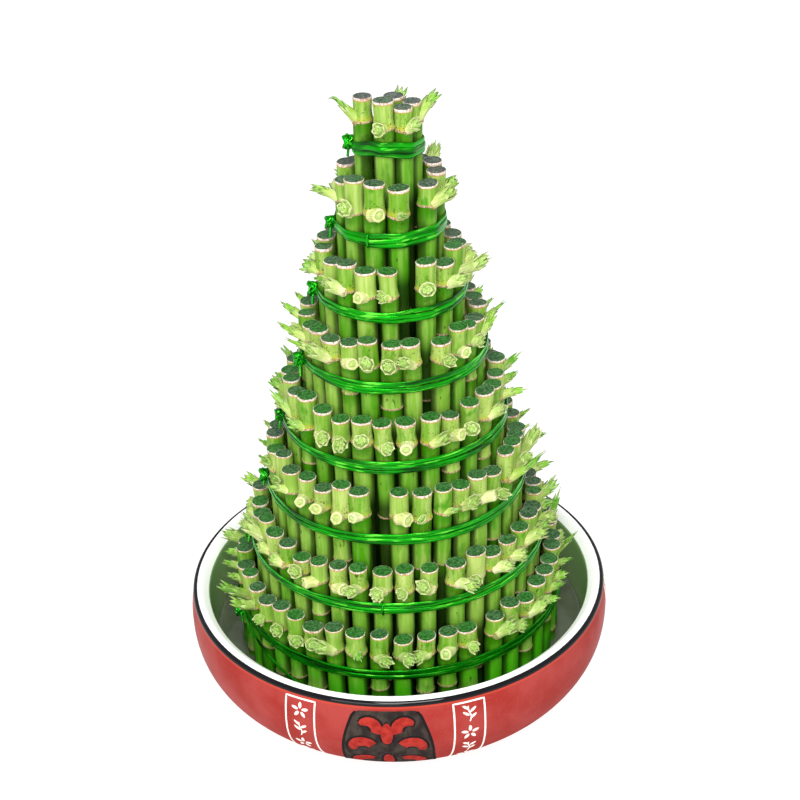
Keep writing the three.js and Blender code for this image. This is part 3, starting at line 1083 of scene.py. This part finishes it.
under_node = (from_node + wobble * 5).rise(-13, -3) + (from_low + wobble * 5).rise(-11, -3) * (
    from_low.fall(-0.2, 0.2))
under_node = under_node * (1.2 - tone * 0.5)
lower = skin.painted(
    skin.mix(tone, (66, 138, 10), (128, 166, 60)),
    (streaks.rise(0.4, 0.7) * (0.35 + tone * 0.6), (146, 180, 84)),
    (blotches.rise(0.52, 0.72) * 0.5, (46, 114, 8)),
    (height.fall(45, 85) * 0.85, (68, 184, 12)),
    (under_node * 0.85, skin.mix(streaks, (34, 104, 2), (72, 138, 12))))
upper = skin.painted(
    skin.mix(tone, (96, 150, 32), (150, 178, 80)),
    (streaks.rise(0.38, 0.68) * (0.4 + tone * 0.6), (176, 194, 110)),
    (blotches.rise(0.52, 0.72) * tone.fall(0.2, 0.7), (66, 134, 16)))

above_node = (from_node + wobble * 0.5).rise(-0.3, 0.3)
above_low = (from_low + wobble).rise(0, 0.5) * (from_low + wobble * 6).fall(3, 13)
yellow = above_node * (from_node + wobble * 4).fall(0.6, 4.5) * (spots - 0.1).rise(0.1, 0.8)
specks = skin.noise(0.9).rise(0.56, 0.63) * skin.noise(4, detail=1.0).rise(0.42, 0.56)
specks = specks * spots.rise(0.25, 0.7) * (abs(from_node - 1) + wobble * 4).fall(4, 14)
bruise = skin.noise(3.2, stretch=(1, 1, 2.5), detail=3.0).rise(0.65, 0.73) * spots.rise(0.3, 0.5)
# Painted shade on the sides and the inner half of a cane below its node, where it touches its neighbours
shaded = flank.rise(0.66, 0.97) * from_node.fall(-14, -2)
# Painted shade on the stretch that the next ring out hides, below that ring's cut ends
behind_ring_shade = (cover - height).rise(3, 16)
scar = abs(from_node + wobble * 0.8).fall(0.4, 0.8)
low_scar = abs(from_low + wobble * 0.8).fall(0.35, 0.75)
scar_colour = skin.mix(grain.rise(0.35, 0.65), (124, 86, 56), (194, 170, 138))
colour = skin.painted(
    lower,
    (above_node, upper),
    (above_low * 0.75, upper),
    (yellow * 0.7, (172, 166, 52)),
    (specks * 0.8, (74, 40, 10)),
    (bruise * 0.75, (52, 38, 16)),
    (shaded * 0.75, (16, 46, 4)),
    (behind_ring_shade * 0.85, (12, 34, 4)),
    (scar * 0.95, scar_colour),
    (low_scar * 0.85, scar_colour))

# %% The cut ends
cut_edge = from_top + wobble * 1.5 - spots * 0.8 + height.fall(110, 330) * 0.35
orange = abs(cut_edge - 1.05).fall(0.15, 0.45) * ring.rise(0.95, 0.99)
lip = cut_edge.fall(0.65, 0.95)
swirls = skin.noise(1.5, detail=3.0)
crust = (grain * 0.5 + swirls * 0.5).rise(0.36, 0.6)
wax = (ring + wobble * 0.1 + (grain - 0.5) * 0.08).fall(0.93, 0.97)
fresh = skin.mix(swirls.rise(0.3, 0.75), (28, 82, 26), (70, 128, 62))
dull = skin.mix(swirls.rise(0.3, 0.75), (40, 50, 44), (100, 112, 100))
skin.drive("Base Color", skin.painted(
    colour,
    (orange * 0.8, (180, 130, 68)),
    (lip, skin.mix(crust, (160, 122, 98), (224, 214, 204))),
    (wax, skin.mix(wax_age, fresh, dull))))
skin.drive("Roughness", 0.4 + streaks * 0.14 - wax * 0.2)
skin.bump(streaks * 0.4 + grain * 0.3 + swirls * wax * 0.4, 0.2)
for number, canes in enumerate(rings_of_canes, 1):
    hand_over(canes, skin, [f"tier_{number}_stalks"])

# %% [markdown]
# ## The sprouts
#
# From each node grows one side shoot, cut back when the tower was made. Some are round stubs that
# show the rings of their sheaths, and others still have torn leaf tips. Each kind is drawn out of a
# bar: the end face goes up, in, down again and up, which makes sheath inside sheath. The points of
# the mouth and of the tip are then moved out and in by turns, which makes torn edges.

# %% The sprout patterns
SPROUT_SIDES = 12
SPROUT_LENGTH = 10
# Levels are (distance from the stem, half width, half thickness), counted from 0. Levels 5 and 6 are
# the ragged mouth of the outer sheath, and level 10 is the torn tip of the inner leaf.
KNOB = [(-3, 3.2, 3.2), (0.2, 4.6, 4.4), (2, 4.1, 3.9), (5, 3.7, 3.5), (8, 3.8, 3.4), (9.2, 3.7, 3.3),
        (9.8, 3.1, 2.7), (9.5, 2.5, 2.2), (8.8, 2.1, 1.8), (9.6, 1.6, 1.3), (10.2, 0.9, 0.8),
        (10.1, 0.3, 0.3)]
TULIP = [(-3, 3.1, 3.1), (0.2, 4.1, 4.0), (1.6, 3.5, 3.4), (4, 3.3, 3.4), (6.2, 3.8, 3.5), (8, 4.4, 3.8),
         (7.8, 3.8, 3.2), (6, 2.8, 2.4), (8, 2.8, 2.4), (9.3, 2.9, 2.2), (9.8, 2.3, 1.7), (8.9, 0.9, 0.7)]
SPEAR = [(-1.6, 3.1, 3.1), (0, 4.1, 3.9), (0.9, 3.3, 3.1), (2.6, 2.8, 2.5), (4.4, 2.9, 2.1), (5.8, 3.2, 1.7),
         (5.5, 2.6, 1.1), (4.9, 2.1, 1), (6.8, 2.3, 1), (8.4, 2.2, 0.8), (9, 1.8, 0.6), (8.4, 0.6, 0.2)]
FAN = [(-1.8, 3.3, 3.3), (0.1, 4.2, 3.9), (1.1, 3.4, 3.1), (3, 3.1, 2.6), (5, 3.4, 2.2), (6.4, 4.1, 1.8),
       (6, 3.3, 1.2), (5, 2.5, 1), (7, 2.9, 1.2), (8.6, 3.5, 0.9), (9.2, 3.3, 0.6), (8.2, 1, 0.2)]
# How much of a leaf each kind is: 1 turns green to its tips, and 0 stays cream
LEAFINESS = {"knob": 0.0, "tulip": 0.4, "spear": 1.0, "fan": 0.9}
# How far seven places from the left edge to the right edge are pulled out: mouth first, then tip
TEETH = {
    "knob": ((1.1, -0.5, 0.3, -0.6, 0.5, -0.4, -0.8), (0.4, -0.3, 0.3, -0.4, 0.3, -0.2, 0.3)),
    "tulip": ((2.2, -1.4, 0.6, -1.6, 1.5, -1.2, 2.6), (-1.2, 0.9, -1.6, 1.6, -1.4, 0.6, -1.0)),
    "spear": ((1.0, -1.2, 0.8, -0.9, 1.3, -1.4, 0.7), (-2.2, 0.6, -0.9, 2.6, -0.6, 1.0, -2.4)),
    "fan": ((1.5, -1.5, 1.1, -1.2, 1.7, -1.8, 1.3), (-1.2, 1.7, -1.6, 1.5, -1.4, 2.0, -1.7)),
}
# The place across, from 0 to 6, of each of the twelve points of a level
PLACE_ACROSS = [3, 2, 1, 0, 1, 2, 3, 4, 5, 6, 5, 4]


def sprout_pattern(kind, levels):
    pattern = drawn_out(f"{kind}_pattern", SPROUT_SIDES, levels)
    points = points_of(pattern)
    level = np.arange(len(points)) // SPROUT_SIDES
    mouth, tip = (np.array(pulls)[PLACE_ACROSS] for pulls in TEETH[kind])
    upper_side = np.where(np.array(PLACE_ACROSS) % 2 == 0, 0.8, 1.1)
    points[level == 5, 2] += mouth
    points[level == 6, 2] += mouth * 0.9
    points[level == 10, 2] += tip * upper_side
    move_points(pattern, points)
    keep_measures(
        pattern,
        reach=np.clip(points[:, 2] / SPROUT_LENGTH, -0.3, 1.3),
        torn=(level == 5) | (level == 6) | (level == 10),
        inside=level >= 8,
        leaf=LEAFINESS[kind],
        across=points[:, 0],
        through=points[:, 1])
    return pattern


patterns = {"knob": KNOB, "tulip": TULIP, "spear": SPEAR, "fan": FAN}
sprout_patterns = {kind: sprout_pattern(kind, levels) for kind, levels in patterns.items()}
print("faces of one sprout:", len(sprout_patterns["spear"].data.polygons))

# %% Grow a sprout on every cane
SPROUT_SEAT = 2.5
# Leafy sprouts within about 55 degrees of the front were trimmed shorter
FRONT_SHARE = 0.57
# How many of the stubs elsewhere have grown leaf tips again
REGROWN_SHARE = 0.45
# How much of its solid's length, rise and sideways swing each sort of sprout has
STUB = {"long": 1.08, "rise": 0.35, "swing": 1.5}
TRIMMED = {"long": 0.74, "rise": 0.7, "swing": 1.3}
GROWN = {"long": 1.0, "rise": 1.25, "swing": 1.0}
REGROWN = {"long": 1.55, "rise": 0.8, "swing": 1.0}


def grow_sprout(cane, index):
    pick = looks()
    at_front = -math.sin(cane["angle"]) > FRONT_SHARE
    if not cane["leafy"] and (at_front or pick > REGROWN_SHARE):
        kind = "knob" if pick < 0.55 else "tulip"
        growth = STUB
    elif not cane["leafy"]:
        kind = "spear" if pick < 0.3 else "fan"
        growth = REGROWN
    elif at_front:
        kind = "spear" if pick < 0.2 else "tulip"
        growth = TRIMMED
    else:
        kind = "spear" if pick < 0.55 else "fan" if pick < 0.8 else "tulip"
        growth = GROWN
    piece = twin(sprout_patterns[kind], f"sprout_{index}")
    points = points_of(piece)
    along = points[:, 2] / SPROUT_LENGTH * cane["long"] * growth["long"]
    size = chance(0.92, 1.15)
    bend = chance(-0.01, 0.02) * np.maximum(0, along) ** 2
    roll = Matrix.Rotation(cane["roll"] if cane["leafy"] else chance(0, 6), 3, "X")
    rise = Matrix.Rotation(-cane["rise"] * growth["rise"], 3, "Y")
    swing = Matrix.Rotation(cane["swing"] * growth["swing"], 3, "Z")
    twist = np.array(swing @ rise @ roll)
    local = np.stack([along, points[:, 0] * size, points[:, 1] * size], axis=1)
    local = local @ twist.T + [SPROUT_SEAT, 0, cane["node"]]
    local[:, 2] += bend
    keep_measures(piece, tone=looks())
    local = tilted(local, cane)
    local[:, 0] += cane["radius"]
    placed = lean_over(turned_by(local, cane["angle"]))
    placed[:, 2] = np.minimum(placed[:, 2], HIGHEST)
    move_points(piece, placed)
    return piece


rings_of_sprouts = []
for number in range(len(RINGS)):
    canes = [cane for cane in tower if cane["ring"] == number and "middle" not in cane]
    copies = [grow_sprout(cane, index) for index, cane in enumerate(canes)]
    rings_of_sprouts.append(joined(copies, f"ring_{number + 1}_sprouts"))
for pattern in sprout_patterns.values():
    bpy.data.objects.remove(pattern)
print("rings of sprouts:", len(rings_of_sprouts))

# %% [markdown]
# A sprout is cream at its root, and turns to a fresh yellow green at its tips. The inner leaf is
# greener than the sheath round it, torn edges dry to a pale straw, and fine veins run along it. The
# lowest sprouts, in the moist air over the water, stay greener. The place on the pattern is stored
# too, so that the veins follow each sprout wherever it points.

# %% The sprouts' skin
shoot = Finish("sprout_skin", {"IOR": 1.4, "Specular IOR Level": 0.25})
distance, torn, inside_sheath, leafiness, shoot_tone, across, through = shoot.measures(
    "reach", "torn", "inside", "leaf", "tone", "across", "through")
reach = distance + (shoot.noise(2.4) - 0.5) * 0.35
veins = shoot.noise(0.75, point=shoot.point(across, through, distance * 1.6 + shoot_tone * 30))
blush = shoot.noise(2.2)
cream = shoot.mix(shoot_tone, (198, 194, 126), (220, 216, 176))
pale = shoot.mix(shoot_tone, (144, 178, 66), (188, 204, 116))
green = shoot.mix(shoot_tone, (62, 146, 6), (112, 174, 34))
straw = (torn + (veins - 0.5) * 0.9).rise(0.72, 0.98)
root_scar = reach.fall(0.02, 0.16) * (blush + shoot_tone * 0.2).fall(0.54, 0.74)
over_water = shoot.height().fall(70, 125)
shoot.drive("Base Color", shoot.painted(
    cream,
    ((reach + leafiness * 0.25).rise(0.15, 0.6) * (0.4 + leafiness * 0.6), pale),
    ((reach + (veins - 0.5) * 0.8).rise(0.2, 0.8) * leafiness * 0.95, green),
    (inside_sheath * (0.2 + shoot_tone * 0.35), green),
    (blush.rise(0.45, 0.7) * 0.45, (160, 192, 84)),
    (veins.rise(0.48, 0.66) * 0.4, (224, 224, 172)),
    (veins.fall(0.34, 0.46) * 0.4, (128, 158, 60)),
    (straw * 0.45, (226, 218, 182)),
    (root_scar * 0.75, (120, 76, 42)),
    (over_water * 0.25, green)))
shoot.drive("Roughness", 0.5 + veins * 0.15)
shoot.bump(veins, 0.2)
for number, sprouts in enumerate(rings_of_sprouts, 1):
    hand_over(sprouts, shoot, [f"tier_{number}_stalks"])

# %% [markdown]
# ## The ties
#
# Each ring is bound with a shiny green foil cord that goes round three or four times and ends in a
# knot at the left. A cord under pull runs straight from cane to cane and bends only over their
# backs, so each strand is a thin torus whose points are moved out to that line. Every turn is a ring
# of its own here. The turns rise and fall a little and cross, as they do when wound by hand.

# %% The line round a ring of canes
CORD_CANE_RADIUS = 5.95
CORD_STEPS = 720
CORD_DIRECTIONS = np.linspace(0, 2 * math.pi, CORD_STEPS, endpoint=False)
# The strands of each tie, and half their height and depth in millimetres
STRANDS = [3, 3, 3, 4, 4, 4, 4, 4]
STRAND_HALF_HEIGHTS = [1.75, 1.65, 1.45, 1.25, 1.25, 1.2, 1.2, 1.2]
STRAND_HALF_DEPTH = 0.42
# The strands lie nearer than their full height, so they press into each other, and every other one
# lies further out. The distances from the cord line are to a strand's middle.
STRAND_PITCH = 1.65
STRAND_OFF = 0.55
STRAND_STAGGER = 0.45
HOOP_RADIUS = 100
# The top tie rides up over the front cane: angle in degrees, then millimetres up there and down elsewhere
RIDE_ANGLE = 258
RIDE_UP = 4.4
RIDE_DOWN = 2
STRAND_SIDES = 8
# The angle in degrees of each tie's knot. They sit at the left, and two of them a little to the front
KNOT_ANGLES = [182, 182, 182, 196, 182, 182, 182, 198]


def cord_line(number, angles):
    """The radius at each angle of a tight cord round all the canes of a ring."""
    canes = np.array([cane["angle"] for cane in tower if cane["ring"] == number and "middle" not in cane])
    centre = FIRST_RING_RADIUS + RING_SPACING * number
    reach = (centre * np.cos(CORD_DIRECTIONS[:, None] - canes)).max(axis=1) + CORD_CANE_RADIUS
    facing = np.cos(np.asarray(angles)[:, None] - CORD_DIRECTIONS)
    return np.where(facing > 0.2, reach / np.maximum(facing, 0.2), 1000).min(axis=1)


def cord_reach(number, angle):
    return float(cord_line(number, [angle])[0])


print("lowest cord, from the axis at the left:", round(cord_reach(len(RINGS) - 1, math.pi), 1), "mm")


def strand(number, index, height, off):
    """One turn of cord: a torus moved out to the cord line."""
    bpy.ops.object.select_all(action="DESELECT")
    segments = max(72, RINGS[number]["count"] * 4)
    bpy.ops.mesh.primitive_torus_add(
        major_segments=segments, minor_segments=STRAND_SIDES, major_radius=HOOP_RADIUS * MM, minor_radius=MM)
    cord = bpy.context.object
    cord.name = f"strand_{number}_{index}"
    points = points_of(cord)
    angles = np.arctan2(points[:, 1], points[:, 0])
    out = np.hypot(points[:, 0], points[:, 1]) - HOOP_RADIUS
    up = points[:, 2]
    phase = chance(0, 6.28)
    waves = int(chance(2, 5))
    rise = 0.4 * np.sin(waves * angles + phase) + 0.15 * np.sin((waves + 3) * angles + 2 * phase)
    off_knot = (angles - math.radians(KNOT_ANGLES[number]) + math.pi) % (2 * math.pi) - math.pi
    fan = 1 - 0.4 * np.exp(-off_knot ** 2)
    wave_out = 0.12 * np.sin((waves + 1) * angles + phase)
    line = cord_line(number, angles)
    radius = line + off + wave_out + out * STRAND_HALF_DEPTH
    heights = RINGS[number]["tie"] + height * fan + rise + up * STRAND_HALF_HEIGHTS[number]
    if number == 0:
        heights += RIDE_UP * np.exp(3.8 * (np.cos(angles - math.radians(RIDE_ANGLE)) - 1)) - RIDE_DOWN
    keep_measures(cord, along=angles * line.mean(), section=np.arctan2(up, out) / math.pi, twist=looks())
    placed = np.stack([radius * np.cos(angles), radius * np.sin(angles), heights], axis=1)
    move_points(cord, lean_over(placed))
    bpy.ops.object.shade_smooth()
    return cord


# %% The knot and its ends
KNOT_STAND = 2.4
KNOT_LOOPS = 6
LOOP_STEPS = 12
END_STEPS = 6


def flat_cord(name, path, wide, deep):
    """A cord of foil along a path of points in millimetres."""
    line = bent(name, [(*place, 1) for place in path], math.sqrt(wide * deep), resolution=1)
    points = points_of(line)
    keep_measures(line, along=points @ [1.0, 1.0, 1.0] * 2.3, section=np.sin(np.arange(len(points))),
                  twist=looks())
    return line


def set_on_tie(piece, number, degrees, out=0.0):
    """Move a piece out, turn it round the tower and lift it to its tie."""
    points = points_of(piece)
    points[:, 0] += out
    points = turned_by(points, math.radians(degrees))
    points[:, 2] += RINGS[number]["tie"]
    move_points(piece, lean_over(points))
    return piece


def knot(number):
    """Loops wound through each other, with two short ends, at the tie's left."""
    bars = []
    for loop in range(KNOT_LOOPS):
        tilt = chance(-0.9, 0.9)
        size = chance(2.4, 3.9)
        path = []
        for step in range(LOOP_STEPS + 1):
            turn = step / LOOP_STEPS * 2 * math.pi
            across, up = size * 0.8 * math.cos(turn), size * math.sin(turn)
            path.append((2.4 * math.sin(2 * turn + loop) + 0.2 * loop,
                         across * math.cos(tilt) - up * math.sin(tilt) * 0.4,
                         up * math.cos(tilt) + across * math.sin(tilt)))
        bars.append(flat_cord("knot_loop", path, 1.1, 0.7))
    for rise, side in ((chance(0.5, 1.1), chance(0.2, 0.9)), (chance(-0.9, -0.2), chance(0.3, 1.0))):
        path = [(0.4 * step * 0.5, side * 1.25 * step, rise * 1.3 * step - 0.06 * step * step)
                for step in range(END_STEPS + 1)]
        bars.append(flat_cord("cord_end", path, 1.0, 0.6))
    degrees = KNOT_ANGLES[number]
    out = cord_reach(number, math.radians(degrees)) + KNOT_STAND
    return set_on_tie(joined(bars, f"knot_{number}"), number, degrees, out)


def buckle(number, degrees):
    """A short upright wrap of cord across the strands."""
    reach = cord_reach(number, math.radians(degrees))
    path = []
    for step in range(LOOP_STEPS + 1):
        turn = step / LOOP_STEPS * 2 * math.pi
        path.append((reach + 0.7 + 1.15 * math.cos(turn), 0.5 * math.sin(turn / 2), 3.9 * math.sin(turn)))
    return set_on_tie(flat_cord(f"buckle_{number}", path, 0.9, 0.6), number, degrees)


# %% Wind every tie
# The slack strand: its sweep in degrees, its drop and its distance off the cord line in millimetres
SLACK_SWEEP = 75
SLACK_DROP = 30
SLACK_OFF = 1.5
SLACK_STEPS = 30
# The ties, counted from 0, with a buckle, and its angle in degrees
BUCKLES = {1: 246, 6: 263}


def slack_strand():
    """A loose strand of the lowest tie, from the knot down towards the front."""
    lowest = len(RINGS) - 1
    path = []
    for step in range(SLACK_STEPS + 1):
        share = step / SLACK_STEPS
        angle = math.radians(KNOT_ANGLES[lowest] + share * SLACK_SWEEP)
        radius = cord_reach(lowest, angle) + SLACK_OFF
        height = RINGS[lowest]["tie"] - SLACK_DROP * math.sin(share * math.pi / 2)
        path.append((radius * math.cos(angle), radius * math.sin(angle), height))
    cord = flat_cord("slack_strand", path, 0.9, 0.7)
    move_points(cord, lean_over(points_of(cord)))
    return cord


ties = []
for number in range(len(RINGS)):
    cords = []
    for index in range(STRANDS[number]):
        pitch = STRAND_PITCH * STRAND_HALF_HEIGHTS[number]
        height = (index - (STRANDS[number] - 1) / 2) * pitch
        cords.append(strand(number, index, height, STRAND_OFF + STRAND_STAGGER * (index % 2)))
    cords.append(knot(number))
    if number in BUCKLES:
        cords.append(buckle(number, BUCKLES[number]))
    if number == len(RINGS) - 1:
        cords.append(slack_strand())
    ties.append(joined(cords, f"foil_tie_{number + 1}"))
print("ties:", len(ties))

# %% [markdown]
# The foil is a bright metallic green. It is creased along its length, and long pale painted highlights
# lie between nearly black streaks of painted shade. The material draws both from the distance along
# the strand.

# %% The foil
foil = Finish("green_foil", {"Metallic": 0.68, "IOR": 1.35, "Coat Roughness": 0.06})
along, section, twist = foil.measures("along", "section", "twist")
crease_and_shade = foil.noise(1, point=foil.point(along * 0.035, section * 1.1, twist * 37))
glint = foil.noise(1, point=foil.point(along * 0.09, section * 2.2, twist * 11))
# Painted light and shade: the creases are darker green with nearly black streaks, and pale painted
# highlights lie on the glints
foil.drive("Base Color", foil.painted(
    foil.mix(crease_and_shade.rise(0.34, 0.56), (0, 88, 0), (4, 154, 0)),
    (crease_and_shade.fall(0.3, 0.42) * 0.85, (0, 44, 0)),
    (glint.rise(0.56, 0.66) * crease_and_shade.rise(0.4, 0.56) * 0.7, (120, 240, 70))))
foil.drive("Roughness", 0.14 + glint * 0.16)
foil.drive("Coat Weight", glint * 0.16)
foil.bump(crease_and_shade * 0.7 + glint * 0.3, 0.1)
for number, tie in enumerate(ties, 1):
    hand_over(tie, foil, [f"tie_{number}"])
